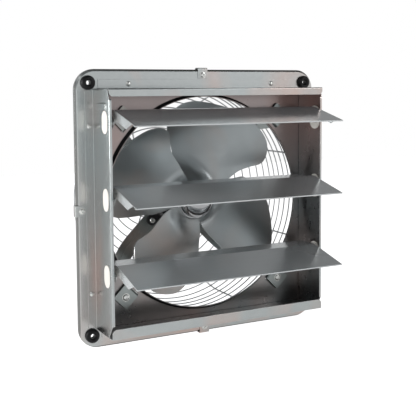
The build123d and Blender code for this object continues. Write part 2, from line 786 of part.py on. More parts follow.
# Wire guard: rings evenly spaced down a straight side and over a dome, on ribs that end at the middle ring
dome_steps = 2000
guard_rings = []
run = guard_front_y
while run + guard_pitch < guard_dome_y:
    run += guard_pitch
    guard_rings.append((guard_r, run))
gone = guard_dome_y - run
last = (guard_r, guard_dome_y)
for step in range(1, dome_steps):
    sweep_angle = pi / 2 * step / dome_steps
    here = (guard_r * cos(sweep_angle), guard_dome_y + guard_dome_depth * sin(sweep_angle))
    gone += hypot(here[0] - last[0], here[1] - last[1])
    last = here
    if here[0] < guard_hub_r:
        break
    if gone >= guard_pitch:
        gone -= guard_pitch
        guard_rings.append(here)
guard_rings.append(last)
rib_angles = [180 / guard_ribs + 360 / guard_ribs * rib for rib in range(guard_ribs)]
ring_turn = rib_angles[0] % (360 / guard_sides)
rib_in = guard_wire / 2 - guard_weld
with BuildPart() as wire_guard:
    for radius, y in guard_rings:
        with BuildSketch(face_at(y + guard_wire / 2)):
            RegularPolygon(radius + guard_wire / 2, guard_sides, rotation=ring_turn)
            RegularPolygon(radius - guard_wire / 2, guard_sides, rotation=ring_turn, mode=Mode.SUBTRACT)
        extrude(amount=guard_wire)
    with BuildSketch(face_at(guard_front_y + guard_rim_wire / 2)):
        RegularPolygon(guard_r + guard_rim_wire / 2, guard_sides, rotation=ring_turn)
        RegularPolygon(guard_r - guard_rim_wire / 2, guard_sides, rotation=ring_turn, mode=Mode.SUBTRACT)
    extrude(amount=guard_rim_wire)
    for angle in rib_angles:
        with BuildSketch(radial_at(angle)):
            with Locations((0, guard_dome_y)):
                Ellipse(guard_r + rib_in + guard_rib_wire, guard_dome_depth + rib_in + guard_rib_wire)
                Ellipse(guard_r + rib_in, guard_dome_depth + rib_in, mode=Mode.SUBTRACT)
            with Locations((guard_hub_r, guard_dome_y)):
                Rectangle(
                    guard_r + overrun,
                    guard_dome_depth + overrun,
                    align=(Align.MIN, Align.MIN),
                    mode=Mode.INTERSECT,
                )
            with Locations((guard_r + rib_in + guard_rib_wire / 2, (guard_dome_y + guard_front_y) / 2)):
                Rectangle(guard_rib_wire, guard_dome_y - guard_front_y)
        extrude(amount=guard_rib_wire / 2, both=True)
    for x, z in clip_places:
        with BuildSketch(face_at(guard_tab_y + guard_tab)):
            reach = clip_screw_r_place + clip_screw_inset / 2
            with Locations((x / clip_screw_r_place * (guard_r + reach) / 2, z / clip_screw_r_place * (guard_r + reach) / 2)):
                Rectangle(
                    reach - guard_r if abs(x) > abs(z) else guard_tab_width,
                    guard_tab_width if abs(x) > abs(z) else reach - guard_r,
                )
            with Locations((x, z)):
                RegularPolygon(clip_screw_r, small_sides, mode=Mode.SUBTRACT)
        extrude(amount=guard_tab)
save(wire_guard, "wire_guard")

# Fan wheel. One blade is made with its middle line on X, cut from a twisted plate and the hub's cone,
# each of which stops where it passes behind the other
cone_rise = (wheel_mid_y - cone_front_y) / (cone_out_r - cone_in_r)
room = tip_r / 2
blade_width = 2 * tip_r


def cone_y(radius):
    return cone_front_y + cone_rise * (radius - cone_in_r)


def twisted_slab(front_shift, back_shift):
    # ruled between a steep section at the tip and a flatter one at the axis
    with BuildPart() as slab:
        for across, rise in ((0, root_slope), (tip_r + overrun, tip_slope)):
            with BuildSketch(side_at(across)):
                low = blade_width / 2
                with BuildLine():
                    Polyline(
                        (wheel_mid_y + rise * low + front_shift, -low),
                        (wheel_mid_y - rise * low + front_shift, low),
                        (wheel_mid_y - rise * low + back_shift, low),
                        (wheel_mid_y + rise * low + back_shift, -low),
                        close=True,
                    )
                make_face()
        loft(ruled=True)
    return slab.part


cone_end_r = cone_out_r + room / 2
cone_room = turned([(0, cone_y(0)), (tip_r, cone_y(tip_r)), (0, cone_y(tip_r))])
cone_shell = turned(
    [
        (shaft_thread_r, cone_front_y),
        (cone_in_r, cone_front_y),
        (cone_end_r, cone_y(cone_end_r)),
        (cone_end_r, cone_y(cone_end_r) + wheel_sheet),
        (cone_in_r, cone_front_y + wheel_sheet),
        (shaft_thread_r, cone_front_y + wheel_sheet),
    ]
)


def blade_points(shares):
    return [on_circle(tip_r * share, -angle) for angle, share in shares]


with BuildPart() as plate:
    add(twisted_slab(0, wheel_sheet))
    add(cone_room, mode=Mode.SUBTRACT)
with BuildPart() as blade:
    add(cone_shell)
    add(twisted_slab(wheel_sheet, room * 2), mode=Mode.SUBTRACT)
    add(plate.part)
    with BuildSketch(face_at(wheel_mid_y + room * 2)):
        with BuildLine():
            Line((0, 0), blade_points(trailing_shares)[0])
            Spline(*blade_points(trailing_shares))
            Spline(*blade_points(tip_corner_shares))
            ThreePointArc(*blade_points(tip_arc_shares))
            Spline(*blade_points(shoulder_shares))
            Spline(*blade_points(leading_shares))
            Line(blade_points(leading_shares)[-1], (0, 0))
        make_face()
    extrude(amount=room * 4, mode=Mode.INTERSECT)
with BuildPart() as impeller:
    for number in range(blade_count):
        turn = Location((0, 0, 0), (0, -blade_start_angle - 360 / blade_count * number, 0))
        with Locations(turn):
            add(blade.part)
    add(
        turned(
            [
                (shaft_thread_r, cone_front_y),
                (cone_in_r, cone_front_y),
                (notch_r, cone_y(notch_r)),
                (notch_r, cone_y(notch_r) + wheel_sheet),
                (cone_in_r, cone_front_y + wheel_sheet),
                (shaft_thread_r, cone_front_y + wheel_sheet),
            ]
        )
    )
    hub_rivet_places = [on_circle(hub_rivet_place_r, angle) for angle in (0, 90, 180, 270)]
    sided_slab(hub_rivet_r, cone_front_y - overrun, cone_front_y + overrun, hub_rivet_places, Mode.SUBTRACT)
save(impeller, "impeller")

# Hub boss behind the wheel, with its rivets and set screw
boss_y = cone_front_y + wheel_sheet
with BuildPart() as hub_boss:
    round_slab(boss_flange_r, boss_y, boss_y + boss_flange)
    round_slab(hub_r, boss_y, hub_back_y)
    round_slab(shaft_thread_r, boss_y - overrun, shoulder_y, mode=Mode.SUBTRACT)
    round_slab(shaft_r + hub_bore_gap, shoulder_y, hub_back_y + overrun, mode=Mode.SUBTRACT)
    sided_slab(hub_rivet_r, boss_y - overrun, boss_y + boss_flange + overrun, hub_rivet_places, Mode.SUBTRACT)
    with BuildSketch(Plane.YZ):
        with Locations((set_screw_y, 0)):
            RegularPolygon(set_screw_r, small_sides)
    extrude(amount=hub_r + overrun, mode=Mode.SUBTRACT)
save(hub_boss, "hub_boss")
hub_rivet = fastener(hub_rivet_r, hub_rivet_head_r, hub_rivet_head, cone_front_y, boss_y + boss_flange)
save(group(hub_rivet, hub_rivet_places), "hub_rivets")
with BuildPart() as set_screw:
    with BuildSketch(side_at(shaft_r + hub_bore_gap, set_screw_y)):
        RegularPolygon(set_screw_r, small_sides)
    extrude(amount=hub_r - shaft_r)
save(set_screw, "set_screw")

# Shaft: threaded front end, journal and rear end, with the rotor core pressed on
with BuildPart() as motor_shaft:
    round_slab(shaft_thread_r, shaft_front_y, shoulder_y)
    round_slab(shaft_r, shoulder_y, motor_back_y - motor_shield - running_gap)
save(motor_shaft, "motor_shaft")
with BuildPart() as rotor_core:
    rotor_r = stator_bore_r * cos(pi / core_sides) - rotor_gap
    rotor_ends = (stator_front_y - rotor_ring, stator_back_y + rotor_ring)
    sided_slab(rotor_r, stator_front_y, stator_back_y, sides=core_sides)
    sided_slab(rotor_r - rotor_ring, *rotor_ends, sides=core_sides)
    round_slab(shaft_r, motor_split_y, motor_rear_split_y, mode=Mode.SUBTRACT)
save(rotor_core, "rotor_core")
with BuildPart() as shaft_nut:
    with BuildSketch(face_at(cone_front_y)):
        RegularPolygon(nut_r, 6, major_radius=False)
        Circle(shaft_thread_r, mode=Mode.SUBTRACT)
    extrude(amount=nut_height)
save(shaft_nut, "shaft_nut")

# Polished cap: a skirt on the wheel's face and a shallow dome, open at the back
cap_rise = cap_rim_y - cap_front_y
cap_line = [(cap_r * across, cap_front_y + cap_rise * down) for across, down in cap_dome_shares]
with BuildPart() as spinner_cap:
    add(turned([(0, cap_front_y), *cap_line, (cap_r, cone_front_y), (0, cone_front_y)]))
    round_slab(cap_r - cap_wall, cap_rim_y, cone_front_y + overrun, mode=Mode.SUBTRACT)
save(spinner_cap, "spinner_cap")
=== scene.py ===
import bpy
import json
from math import cos, hypot, pi, radians, sin
from mathutils import Matrix, Vector


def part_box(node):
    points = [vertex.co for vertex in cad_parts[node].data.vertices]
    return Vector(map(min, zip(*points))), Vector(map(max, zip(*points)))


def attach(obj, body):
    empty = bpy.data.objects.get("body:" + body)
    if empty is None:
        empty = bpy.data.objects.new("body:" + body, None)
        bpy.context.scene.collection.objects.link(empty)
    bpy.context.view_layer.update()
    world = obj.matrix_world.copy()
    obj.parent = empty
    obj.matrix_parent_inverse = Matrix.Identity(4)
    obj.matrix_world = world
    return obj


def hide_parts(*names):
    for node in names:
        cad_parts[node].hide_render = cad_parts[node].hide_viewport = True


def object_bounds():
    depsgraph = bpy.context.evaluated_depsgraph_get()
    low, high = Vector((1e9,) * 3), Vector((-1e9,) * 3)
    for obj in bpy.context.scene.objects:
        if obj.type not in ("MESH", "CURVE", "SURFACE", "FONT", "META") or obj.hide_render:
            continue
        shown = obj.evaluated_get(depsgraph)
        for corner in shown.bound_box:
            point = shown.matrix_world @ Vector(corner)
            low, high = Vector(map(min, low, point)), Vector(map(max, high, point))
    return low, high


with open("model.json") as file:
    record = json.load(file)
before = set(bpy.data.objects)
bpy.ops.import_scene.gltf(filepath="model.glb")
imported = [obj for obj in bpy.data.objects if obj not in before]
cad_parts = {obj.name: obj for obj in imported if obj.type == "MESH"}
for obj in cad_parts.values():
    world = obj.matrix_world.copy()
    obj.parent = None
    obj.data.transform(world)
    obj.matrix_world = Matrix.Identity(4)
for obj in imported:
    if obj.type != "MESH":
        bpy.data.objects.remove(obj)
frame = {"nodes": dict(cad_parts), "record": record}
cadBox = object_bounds()
record = frame["record"]
slotOf = {part["node"]: part["material_slot"] for part in record["subparts"]}
bodyOf = {node: body for body, nodes in record["behaviour"]["bodies"].items() for node in nodes}
print("frame loaded,", len(slotOf), "nodes")


# Selecting, shaping and putting a piece in place of its frame node

def take(piece):
    bpy.ops.object.select_all(action="DESELECT")
    piece.select_set(True)
    bpy.context.view_layer.objects.active = piece


def editAll(piece):
    take(piece)
    bpy.ops.object.mode_set(mode="EDIT")
    bpy.ops.mesh.select_mode(type="VERT")
    bpy.ops.mesh.select_all(action="SELECT")


def settle(piece, angle=35):
    # merges doubles, turns the faces outwards, smooths by angle and puts the object at the origin
    editAll(piece)
    bpy.ops.mesh.remove_doubles(threshold=1e-6)
    bpy.ops.mesh.normals_make_consistent(inside=False)
    bpy.ops.object.mode_set(mode="OBJECT")
    bpy.ops.object.transform_apply(location=True, rotation=True, scale=True)
    bpy.ops.object.shade_smooth_by_angle(angle=radians(angle))
    return piece


def rounded(piece, width, segments=2, angle=40):
    take(piece)
    bpy.ops.object.modifier_add(type="BEVEL")
    edge = piece.modifiers[-1]
    edge.width = width
    edge.segments = segments
    edge.limit_method = "ANGLE"
    edge.angle_limit = radians(angle)
    bpy.ops.object.modifier_apply(modifier=edge.name)
    bpy.ops.object.shade_smooth_by_angle(angle=radians(angle))
    return piece


def weighted(piece):
    # flat faces keep their flat shading beside a rounded edge
    take(piece)
    bpy.ops.object.modifier_add(type="WEIGHTED_NORMAL")
    piece.modifiers[-1].keep_sharp = True
    bpy.ops.object.modifier_apply(modifier=piece.modifiers[-1].name)


def joined(pieces, name):
    take(pieces[0])
    for piece in pieces[1:]:
        piece.select_set(True)
    bpy.ops.object.join()
    bpy.context.object.name = name
    return bpy.context.object


def handIn(piece, node, finish):
    piece.data.materials.clear()
    piece.data.materials.append(finish)
    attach(piece, bodyOf[node])
    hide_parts(node)


def turnedPiece(name, outline, steps, centre=(0, 0), tip=False):
    # a circle is drawn out ring by ring along an outline of (radius, y), about a line through centre, (x, z),
    # that is parallel to the fan's axis
    x, z = centre
    radius, y = outline[0]
    bpy.ops.object.select_all(action="DESELECT")
    bpy.ops.mesh.primitive_circle_add(
        vertices=steps, radius=radius, location=(x, y, z), rotation=(pi / 2, 0, 0)
    )
    piece = bpy.context.object
    piece.name = name
    editAll(piece)
    for nextRadius, nextY in outline[1:]:
        bpy.ops.mesh.extrude_region_move(TRANSFORM_OT_translate={"value": (0, nextY - y, 0)})
        grow = nextRadius / radius
        bpy.ops.transform.resize(value=(grow, 1, grow), center_override=(x, nextY, z))
        radius, y = nextRadius, nextY
    if tip:
        bpy.ops.mesh.extrude_region_move()
        bpy.ops.mesh.merge(type="CENTER")
    bpy.ops.mesh.select_all(action="SELECT")
    bpy.ops.mesh.remove_doubles(threshold=1e-6)
    bpy.ops.mesh.fill_holes(sides=0)
    bpy.ops.object.mode_set(mode="OBJECT")
    return settle(piece)


def copies(piece, places, node, finish):
    # the piece, made on the fan's axis, is copied to each (x, z) place and then deleted
    for number, (x, z) in enumerate(places, 1):
        take(piece)
        bpy.ops.object.duplicate(linked=False)
        copy = bpy.context.object
        copy.name = f"{piece.name}_{number}"
        copy.location = (x, 0, z)
        bpy.ops.object.transform_apply(location=True, rotation=True, scale=True)
        handIn(copy, node, finish)
    bpy.data.objects.remove(piece)


def smoothCopy(node, finish, angle=32):
    # a copy of a frame node, with its loose triangles merged and its curves shaded smooth
    source = frame["nodes"][node]
    piece = source.copy()
    piece.data = source.data.copy()
    bpy.context.collection.objects.link(piece)
    piece.parent = None
    piece.matrix_world = Matrix.Identity(4)
    piece.name = f"{node}_finish"
    for key in [key for key in piece.keys() if key.startswith("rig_")]:
        del piece[key]
    take(piece)
    bpy.ops.mesh.customdata_custom_splitnormals_clear()
    weighted(settle(piece, angle))
    handIn(piece, node, finish)


# Materials: a wire is the output of a node, and arithmetic on wires adds Math nodes

class Wire:
    def __init__(self, tree, socket=None):
        self.tree = tree
        self.socket = socket

    def node(self, kind, settings=None, values=None, output=0):
        made = self.tree.nodes.new(kind)
        for name, value in (settings or {}).items():
            if name == "stops":
                ramp = made.color_ramp
                while len(ramp.elements) < len(value):
                    ramp.elements.new(0.5)
                for element, (place, shade) in zip(ramp.elements, value):
                    element.position = place
                    element.color = (shade, shade, shade, 1)
            else:
                setattr(made, name, value)
        for name, value in (values or {}).items():
            if isinstance(value, Wire):
                self.tree.links.new(value.socket, made.inputs[name])
            else:
                made.inputs[name].default_value = value
        return Wire(self.tree, made.outputs[output] if made.outputs else None)

    def maths(self, operation, first, second):
        return self.node("ShaderNodeMath", {"operation": operation}, {0: first, 1: second})

    def __add__(self, other):
        return self.maths("ADD", self, other)

    def __radd__(self, other):
        return self.maths("ADD", other, self)

    def __sub__(self, other):
        return self.maths("SUBTRACT", self, other)

    def __rsub__(self, other):
        return self.maths("SUBTRACT", other, self)

    def __mul__(self, other):
        return self.maths("MULTIPLY", self, other)

    def __rmul__(self, other):
        return self.maths("MULTIPLY", other, self)

    def clamped(self, low, high):
        # 0 at low and 1 at high, held beyond them; low may be the larger of the two
        return self.node(
            "ShaderNodeMapRange",
            {"clamp": True},
            {"Value": self, "From Min": low, "From Max": high, "To Min": 0.0, "To Max": 1.0},
        )


def mixed(factor, first, second):
    return factor.node("ShaderNodeMix", {"data_type": "RGBA"}, {0: factor, 6: first, 7: second}, output=2)


def colour(shade, share=1.0):
    # red, green and blue as a colour socket takes them, darker by the share
    return (*[part * share for part in shade], 1.0)


def axisOf(vector, axis):
    return vector.node("ShaderNodeSeparateXYZ", {}, {0: vector}, output="XYZ".index(axis))


def noise(place, scale, detail, stretch=(1, 1, 1), distortion=0.0):
    spread = place.node("ShaderNodeMapping", {}, {"Vector": place, "Scale": stretch})
    return place.node(
        "ShaderNodeTexNoise",
        {},
        {"Vector": spread, "Scale": scale, "Detail": detail, "Distortion": distortion},
    )


def newFinish(name):
    material = bpy.data.materials.new(name)
    material.use_nodes = True
    material.node_tree.nodes.clear()
    start = Wire(material.node_tree)
    place = start.node("ShaderNodeTexCoord", output=3)
    return material, start, place


def closeFinish(start, values):
    shader = start.node("ShaderNodeBsdfPrincipled", {}, values)
    start.node("ShaderNodeOutputMaterial", {}, {"Surface": shader})


def softNormal(start, radius):
    # the normal of a slightly rounded edge
    return start.node("ShaderNodeBevel", {"samples": 4}, {"Radius": radius})


def edgeMask(start, soft):
    # 1 on the edge itself, where the soft normal leaves the true one
    true = start.node("ShaderNodeNewGeometry", output=3)
    same = start.node("ShaderNodeVectorMath", {"operation": "DOT_PRODUCT"}, {0: soft, 1: true}, output=1)
    return (1 - same).clamped(0.02, 0.25)


def bump(start, height, depth, normal):
    return start.node(
        "ShaderNodeBump", {}, {"Height": height, "Distance": depth, "Strength": 1.0, "Normal": normal}
    )


def sheetFinish(name, cool, warm, warmShare, rough, grain, grainDepth=0.000004, edgeHighlightShade=0.75, metal=1.0):
    # rolled sheet: long grain in the roughness and bump, wide cool and warm clouds, and a painted highlight
    # on the cut edges
    material, start, place = newFinish(name)
    soft = softNormal(start, 0.0005)
    onEdge = edgeMask(start, soft)
    streaks = noise(place, 1.0, 4.0, grain)
    clouds = noise(place, 9.0, 2.0, (1, 1, 1), 0.6).clamped(0.46, 0.72)
    fine = noise(place, 60.0, 3.0)
    body = mixed(clouds * warmShare, colour(cool), colour(warm))
    body = mixed(streaks.clamped(0.3, 0.7) * 0.12, body, colour(cool, 0.75))
    # painted highlight: the cut edges are lightened
    body = mixed(onEdge * 0.8, body, colour([edgeHighlightShade] * 3))
    closeFinish(start, {
        "Base Color": body,
        "Metallic": metal,
        "Roughness": rough + (streaks - 0.5) * 0.08 + (fine - 0.5) * 0.06 + onEdge * 0.12,
        "Normal": bump(start, streaks, grainDepth, soft),
    })
    return material


# Galvanised sheet of the panel and the shutter box, with three places that look different: the turned lip of
# the opening is black in front, and the box inside and the panel's outer rim are darkened with painted shade,
# which is warmer towards the top of the box. Cut edges are lightened with a painted highlight.
# Lengths are in metres from the opening's centre; the painted shade covers the box and rim by the given
# share.
galvanised = {
    "cool": (0.47, 0.50, 0.50), "warm": (0.61, 0.475, 0.43), "warmShare": 0.95, "zinc": (0.61, 0.63, 0.63),
    "zincShare": 0.16, "paintedEdgeHighlight": (0.78, 0.79, 0.78), "rough": 0.23, "grain": (22, 300, 26),
    "grainDepth": 0.000004, "edgeRadius": 0.0006,
}
lip = {"inner": 0.1512, "outer": 0.1585, "front": -0.0006, "back": -0.0002, "shade": (0.008, 0.008, 0.009)}
boxShade = {
    "x": 0.1646, "z": 0.1634, "front": -0.0592, "back": 0.0006, "paintedShade": 0.65,
    "shade": (0.19, 0.187, 0.19), "warmShade": (0.28, 0.19, 0.18), "warmFrom": 0.02, "warmTo": 0.12,
}
panelRim = {"inner": 0.1876, "outer": 0.1905, "paintedShade": 0.8, "shade": (0.17, 0.175, 0.17)}


def galvanisedFinish(name):
    material, start, place = newFinish(name)
    soft = softNormal(start, galvanised["edgeRadius"])
    streaks = noise(place, 1.0, 3.0, galvanised["grain"])
    clouds = noise(place, 7.0, 2.0, (1, 1, 0.5), 0.8).clamped(0.47, 0.68)
    zinc = noise(place, 120.0, 3.0, (1, 1, 1), 0.4)
    depth = axisOf(place, "Y")
    height = axisOf(place, "Z")
    sides = start.node("ShaderNodeVectorMath", {"operation": "ABSOLUTE"}, {0: place})
    fromAxisX = axisOf(sides, "X")
    fromAxisZ = axisOf(sides, "Z")
    across = start.node("ShaderNodeMapping", {}, {"Vector": place, "Scale": (1, 0, 1)})
    radius = start.node("ShaderNodeVectorMath", {"operation": "LENGTH"}, {0: across}, output=1)
    facing = axisOf(start.node("ShaderNodeNewGeometry", output=3), "Y")

    # black band on the front face of the turned lip, where the sheet is not metallic
    blackLip = radius.clamped(lip["inner"], lip["inner"] + 0.0003)
    blackLip = blackLip * radius.clamped(lip["outer"], lip["outer"] - 0.0003)
    blackLip = blackLip * depth.clamped(lip["back"], lip["front"]) * facing.clamped(-0.9, -0.8)
    # painted shade: the inside of the box is darkened
    inside = fromAxisX.clamped(boxShade["x"], boxShade["x"] - 0.0004)
    inside = inside * fromAxisZ.clamped(boxShade["z"], boxShade["z"] - 0.0004)
    inside = inside * depth.clamped(boxShade["back"], boxShade["back"] - 0.0004)
    inside = inside * depth.clamped(boxShade["front"], boxShade["front"] + 0.0005)
    # painted shade: the outer rim of the panel is darkened
    rim = [
        side.clamped(panelRim["inner"], panelRim["inner"] + 0.0004)
        * side.clamped(panelRim["outer"], panelRim["outer"] - 0.0003)
        for side in (fromAxisX, fromAxisZ)
    ]
    rim = (rim[0] + rim[1]).clamped(0.0, 1.0) * depth.clamped(0.0, 0.0004)
    # the colour of the painted shade in the box, warmer towards the top
    warmer = height.clamped(boxShade["warmFrom"], boxShade["warmTo"])
    paintedShade = mixed(warmer, colour(boxShade["shade"]), colour(boxShade["warmShade"]))

    body = mixed(clouds * galvanised["warmShare"], colour(galvanised["cool"]), colour(galvanised["warm"]))
    body = mixed(zinc.clamped(0.4, 0.7) * galvanised["zincShare"], body, colour(galvanised["zinc"]))
    body = mixed(inside * boxShade["paintedShade"], body, paintedShade)
    # painted highlight: the cut edges are lightened
    body = mixed(edgeMask(start, soft) * 0.85, body, colour(galvanised["paintedEdgeHighlight"]))
    body = mixed(rim * panelRim["paintedShade"], body, colour(panelRim["shade"]))
    body = mixed(blackLip, body, colour(lip["shade"]))
    grainRough = (zinc - 0.5) * 0.08 + (streaks - 0.5) * 0.08
    closeFinish(start, {
        "Base Color": body,
        "Metallic": 1 - blackLip,
        "Roughness": galvanised["rough"] + grainRough + blackLip * 0.2 + inside * 0.06,
        "Normal": bump(start, streaks, galvanised["grainDepth"], soft),
    })
    return material


def plainMetal(name, shade, rough, metallic=1.0, grain=(200, 200, 200), depth=0.000012, coat=0.0):
    # dull blotches, a fine grain and edges that are lighter, as wear and as a painted highlight
    material, start, place = newFinish(name)
    soft = softNormal(start, 0.0003)
    wear = noise(place, 1.0, 3.0, grain)
    blotch = noise(place, 45.0, 2.0)
    bright = [min(part * 1.7 + 0.02, 0.9) for part in shade]
    body = mixed(blotch.clamped(0.35, 0.7) * 0.3, colour(shade), colour(shade, 0.6))
    # the edges are lighter, as wear and as a painted highlight
    body = mixed(edgeMask(start, soft) * 0.35, body, colour(bright))
    closeFinish(start, {
        "Base Color": body,
        "Metallic": metallic,
        "Roughness": rough + (wear - 0.5) * 0.2 + (blotch - 0.5) * 0.08,
        "Coat Weight": coat,
        "Coat Roughness": 0.12,
        "Normal": bump(start, wear, depth, soft),
    })
    return material


def plasticFinish(name, shade, rough, grainScale=900.0, depth=0.00003, shine=0.5):
    # moulded plastic or rubber: soft clouds in the colour and a fine moulded grain
    material, start, place = newFinish(name)
    soft = softNormal(start, 0.0004)
    grain = noise(place, grainScale, 2.0)
    cloud = noise(place, 80.0, 2.0)
    closeFinish(start, {
        "Base Color": mixed(cloud.clamped(0.35, 0.7) * 0.3, colour(shade), colour(shade, 0.86)),
        "Roughness": rough + (grain - 0.5) * 0.2,
        "Specular IOR Level": shine,
        "Normal": bump(start, grain, depth, soft),
    })
    return material


def laminationFinish(name, dark, bright):
    # stacked laminations: thin dark and bright lines across the fan's axis
    material, start, place = newFinish(name)
    wave = start.node(
        "ShaderNodeTexWave",
        {"bands_direction": "Y"},
        {"Vector": place, "Scale": 320.0, "Distortion": 0.6, "Detail": 1.0},
    )
    lines = start.node("ShaderNodeSeparateColor", {}, {0: wave})
    closeFinish(start, {
        "Base Color": mixed(lines, colour(dark), colour(bright)),
        "Metallic": 0.9,
        "Roughness": 0.38 + lines * 0.2,
        "Normal": bump(start, lines, 0.0001, softNormal(start, 0.0003)),
    })
    return material


def windingFinish(name, dark, bright):
    # enamelled wire laid round and round
    material, start, place = newFinish(name)
    turns = noise(place, 1.0, 2.0, (60, 1400, 60), 0.4)
    closeFinish(start, {
        "Base Color": mixed(turns.clamped(0.3, 0.7), colour(dark), colour(bright)),
        "Metallic": 0.85,
        "Roughness": 0.3 + turns * 0.2,
        "Normal": bump(start, turns, 0.0003, softNormal(start, 0.0005)),
    })
    return material


finishes = {
    "galvanised_sheet": galvanisedFinish("galvanised_sheet"),
    "louvre_sheet": sheetFinish(
        "louvre_sheet", cool=(0.67, 0.70, 0.71), warm=(0.71, 0.67, 0.64), warmShare=0.3, rough=0.24,
        grain=(9, 260, 260), grainDepth=0.0000008, metal=0.7,
    ),
    "strap_steel": sheetFinish(
        "strap_steel", cool=(0.34, 0.37, 0.365), warm=(0.43, 0.35, 0.31), warmShare=0.7, rough=0.32,
        grain=(120, 120, 120), edgeHighlightShade=0.6,
    ),
    "wheel_sheet": sheetFinish(
        "wheel_sheet", cool=(0.365, 0.395, 0.405), warm=(0.49, 0.405, 0.36), warmShare=0.6, rough=0.33,
        grain=(60, 60, 60), grainDepth=0.000001,
    ),
    "polished_metal": plainMetal(
        "polished_metal", (0.47, 0.475, 0.485), 0.04, grain=(40, 40, 40), depth=0.000002
    ),
    "zinc_fasteners": plainMetal("zinc_fasteners", (0.80, 0.81, 0.79), 0.22, depth=0.00001),
    "guard_wire": plainMetal("guard_wire", (0.66, 0.67, 0.68), 0.42, grain=(500, 500, 500)),
    "black_paint": plainMetal(
        "black_paint", (0.020, 0.020, 0.022), 0.32, metallic=0.0, grain=(700, 700, 700),
        depth=0.00004, coat=0.4,
    ),
    "black_rubber": plasticFinish("black_rubber", (0.006, 0.006, 0.007), 0.36, shine=0.25),
    "black_plastic": plasticFinish("black_plastic", (0.02, 0.02, 0.021), 0.45),
    "cream_nylon": plasticFinish("cream_nylon", (0.97, 0.93, 0.87), 0.42, grainScale=500.0, depth=0.00002),
    "ground_steel": plainMetal("ground_steel", (0.55, 0.55, 0.56), 0.2, grain=(900, 30, 900)),
    "lamination_steel": laminationFinish(
        "lamination_steel", dark=(0.10, 0.10, 0.11), bright=(0.26, 0.26, 0.27)
    ),
    "copper_winding": windingFinish("copper_winding", dark=(0.30, 0.11, 0.04), bright=(0.62, 0.29, 0.13)),
}
for node, part in frame["nodes"].items():
    part.material_slots[0].material = finishes[slotOf[node]]
print("materials made")

# The sheet and cast pieces keep the frame's own form, with their curves shaded smooth.
# The rim clips are of the panel's sheet, though their slot is the fasteners' one.
smoothNodes = [
    "mounting_panel", "shutter_side_left", "shutter_side_right", "shutter_top", "shutter_bottom",
    "pivot_bushings", "rim_clips", "arm_pads", "motor_arm_upper_right", "motor_arm_upper_left",
    "motor_arm_lower_left", "motor_arm_lower_right", "motor_front_bracket", "motor_housing",
    "motor_rear_cover", "front_bearing", "rear_bearing", "motor_shaft", "hub_boss", "louvre_upper",
    "louvre_middle", "louvre_lower", "louvre_pins_upper", "louvre_pins_middle", "louvre_pins_lower",
]
for node in smoothNodes:
    smoothCopy(node, finishes["galvanised_sheet" if node == "rim_clips" else slotOf[node]])
print("sheet pieces smoothed")

# Fan wheel: one pressed sheet, with four twisted blades that run up out of the cone round the hub
wheel = {
    "tip": 0.146, "middle": 0.0434, "rootSlope": -0.11, "tipSlope": -0.73, "coneRadius": 0.027,
    "front": 0.0259, "coneRise": 0.921, "blend": 0.012, "sheet": 0.0016,
    "start": 74.9, "blades": 4, "columns": 40, "rows": 50,
    # both edges of a blade, from the bore to the tip, as (degrees from the middle line, share of tip)
    "trailing": [
        (-33.5, 0.031), (-33.5, 0.19), (-33.5, 0.25), (-36, 0.385), (-32.3, 0.52),
        (-30.2, 0.64), (-28, 0.75), (-21.5, 0.88), (-15, 0.962), (-8, 1.0),
    ],
    "leading": [
        (56.5, 0.031), (56.5, 0.19), (56.5, 0.25), (51.5, 0.385), (46.6, 0.54),
        (47.2, 0.66), (48.2, 0.79), (38.5, 0.91), (25, 0.972), (14, 1.0),
    ],
    "seam": 2,  # steps of both edges, from the bore, that lie against the next blade
}


def edgePoint(line, share):
    # straight along the seam to the next blade, and smooth through the points beyond it
    run = share * (len(line) - 1)
    step = min(int(run), len(line) - 2)
    along = run - step
    start, end = Vector(line[step]), Vector(line[step + 1])
    if step < wheel["seam"]:
        return start.lerp(end, along)
    before = start if step == wheel["seam"] else Vector(line[step - 1])
    after = Vector(line[min(step + 2, len(line) - 1)])
    leave, arrive = (end - before) / 2, (after - start) / 2
    squared, cubed = along ** 2, along ** 3
    return (
        start * (2 * cubed - 3 * squared + 1)
        + leave * (cubed - 2 * squared + along)
        + end * (3 * squared - 2 * cubed)
        + arrive * (cubed - squared)
    )


def sheetHeight(x, z):
    # the twisted blade or the cone, whichever stands further forward, run into each other
    slope = wheel["rootSlope"] + (wheel["tipSlope"] - wheel["rootSlope"]) * x / wheel["tip"]
    plate = wheel["middle"] - slope * z
    cone = wheel["front"] + wheel["coneRise"] * max(hypot(x, z) - wheel["coneRadius"], 0)
    blend = min(max(0.5 + 0.5 * (cone - plate) / wheel["blend"], 0), 1)
    return cone * (1 - blend) + plate * blend - wheel["blend"] * blend * (1 - blend)


def wheelBlade(turn):
    # a grid is laid between the two edges and lifted to the twisted form point by point
    bpy.ops.object.select_all(action="DESELECT")
    bpy.ops.mesh.primitive_grid_add(x_subdivisions=wheel["columns"], y_subdivisions=wheel["rows"], size=1)
    blade = bpy.context.object
    for vertex in blade.data.vertices:
        across, out = vertex.co.x + 0.5, vertex.co.y + 0.5
        angle, share = edgePoint(wheel["trailing"], out).lerp(edgePoint(wheel["leading"], out), across)
        radius = wheel["tip"] * share
        x, z = radius * cos(radians(angle)), -radius * sin(radians(angle))
        vertex.co = (x, sheetHeight(x, z), z)
    blade.rotation_euler = (0, radians(-turn), 0)
    bpy.ops.object.transform_apply(location=True, rotation=True, scale=True)
    return blade


